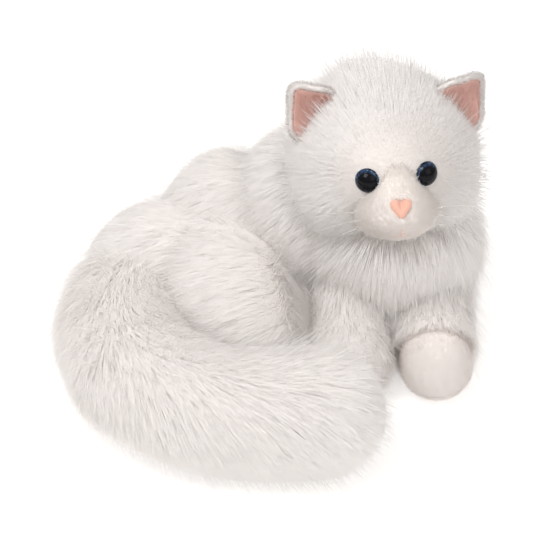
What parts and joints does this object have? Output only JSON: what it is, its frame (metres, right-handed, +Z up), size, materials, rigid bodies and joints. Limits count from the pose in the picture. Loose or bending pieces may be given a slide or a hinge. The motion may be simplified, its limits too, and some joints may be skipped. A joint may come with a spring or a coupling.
{
  "type": "plush cat",
  "caption": "Lying long-haired plush cat, curled with its tail in front; head, ears, front legs and tail bend like the stuffed toy's.",
  "frame": {"origin": "on the floor, in the middle of the flat panel under the body", "axes": "+Z up, the cat faces -Y, its left side is at +X"},
  "size_m": [0.3034, 0.2936, 0.2203],
  "materials": {
    "long_plush": "soft",
    "short_plush": "soft",
    "pink_plush": "soft",
    "nose_cloth": "satin",
    "thread": "satin",
    "eye_clear": "polished",
    "eye_black": "gloss",
    "washer": "matte",
    "whisker": "clear",
    "fibrefill": "soft",
    "base_cloth": "matte",
    "pouch_cloth": "matte",
    "pellet": "matte"
  },
  "bodies": {
    "torso": {"torso_cover": "long_plush", "torso_stuffing": "fibrefill", "base_panel": "base_cloth", "pellet_pouch": "pouch_cloth", "pellets": "pellet", "right_haunch_cover": "long_plush", "right_haunch_stuffing": "fibrefill", "left_haunch_cover": "long_plush", "left_haunch_stuffing": "fibrefill", "right_hind_foot": "short_plush", "left_hind_foot": "short_plush"},
    "neck": {"neck_core": "fibrefill"},
    "head": {"head_cover": "long_plush", "head_stuffing": "fibrefill", "muzzle_cover": "short_plush", "muzzle_stuffing": "fibrefill", "nose": "nose_cloth", "mouth_stitch": "thread", "right_eye_lens": "eye_clear", "left_eye_lens": "eye_clear", "right_eye_base": "eye_black", "left_eye_base": "eye_black", "right_eye_washer": "washer", "left_eye_washer": "washer", "right_whiskers": "whisker", "left_whiskers": "whisker"},
    "right_ear": {"right_ear_back": "short_plush", "right_ear_lining": "pink_plush"},
    "left_ear": {"left_ear_back": "short_plush", "left_ear_lining": "pink_plush"},
    "right_front_leg": {"right_leg_cover": "long_plush", "right_leg_stuffing": "fibrefill", "right_paw_cover": "short_plush"},
    "left_front_leg": {"left_leg_cover": "long_plush", "left_leg_stuffing": "fibrefill", "left_paw_cover": "short_plush"},
    "tail_base": {"tail_base_cover": "long_plush", "tail_base_stuffing": "fibrefill"},
    "tail_tip": {"tail_tip_cover": "long_plush", "tail_tip_stuffing": "fibrefill"}
  },
  "joints": [
    {"name": "head_turn", "type": "hinge", "parent": "torso", "child": "neck", "pos_m": [0.0805, 0, 0.158], "axis": [0, 0, 1], "range_deg": [-20, 20]},
    {"name": "head_nod", "type": "hinge", "parent": "neck", "child": "head", "pos_m": [0.0805, 0, 0.158], "axis": [0.9925, 0.1219, 0], "range_deg": [-10, 10]},
    {"name": "right_ear_fold", "type": "hinge", "parent": "head", "child": "right_ear", "pos_m": [0.03445, -0.00566, 0.186], "axis": [0.526, 0.0646, 0.848], "range_deg": [-25, 35], "stiffness_Nm_per_rad": 0.02},
    {"name": "left_ear_fold", "type": "hinge", "parent": "head", "child": "left_ear", "pos_m": [0.12655, 0.00566, 0.186], "axis": [0.526, 0.0646, -0.848], "range_deg": [-25, 35], "stiffness_Nm_per_rad": 0.02},
    {"name": "right_leg_lift", "type": "hinge", "parent": "torso", "child": "right_front_leg", "pos_m": [0.056, -0.01, 0.042], "axis": [-1, 0, 0], "range_deg": [0, 25]},
    {"name": "left_leg_lift", "type": "hinge", "parent": "torso", "child": "left_front_leg", "pos_m": [0.117, -0.01, 0.042], "axis": [-1, 0, 0], "range_deg": [0, 25]},
    {"name": "tail_swing", "type": "hinge", "parent": "torso", "child": "tail_base", "pos_m": [-0.108, -0.028, 0.039], "axis": [0, 0, -1], "range_deg": [0, 30]},
    {"name": "tail_curl", "type": "hinge", "parent": "tail_base", "child": "tail_tip", "pos_m": [-0.064, -0.148, 0.039], "axis": [0, 0, -1], "range_deg": [0, 35]}
  ]
}
